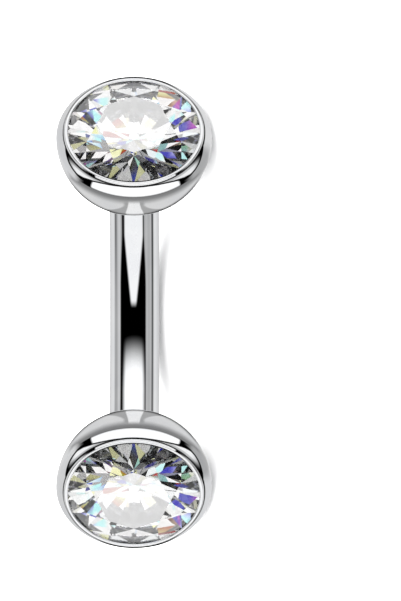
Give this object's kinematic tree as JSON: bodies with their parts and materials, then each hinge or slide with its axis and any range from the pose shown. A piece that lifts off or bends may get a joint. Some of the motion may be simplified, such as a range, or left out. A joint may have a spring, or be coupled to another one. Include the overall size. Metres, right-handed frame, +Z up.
{
  "type": "belly button ring",
  "caption": "Curved barbell for a navel piercing, with polished end balls that each hold a round brilliant clear stone in a thin lip; the top ball comes off on its threaded post.",
  "frame": {"origin": "middle of the bounding box's bottom, on the surface that the ring lies on", "axes": "+X from the lower ball to the top ball, +Z up, and the open side of the bend faces -Y and a little upward"},
  "size_m": [0.0152, 0.0068, 0.0049],
  "materials": {
    "bar_steel": "mirror-polished surgical steel",
    "ball_steel": "mirror-polished surgical steel",
    "stone": "clear faceted cubic zirconia"
  },
  "bodies": {
    "barbell": {"bar": "bar_steel", "lower_ball": "ball_steel", "lower_stone": "stone"},
    "top_end": {"top_ball": "ball_steel", "top_stone": "stone"}
  },
  "joints": [
    {"name": "top_ball_slide", "type": "slide", "parent": "barbell", "child": "top_end", "axis": [0.6374, -0.7136, 0.2906], "range_m": [0, 0.0025]}
  ]
}
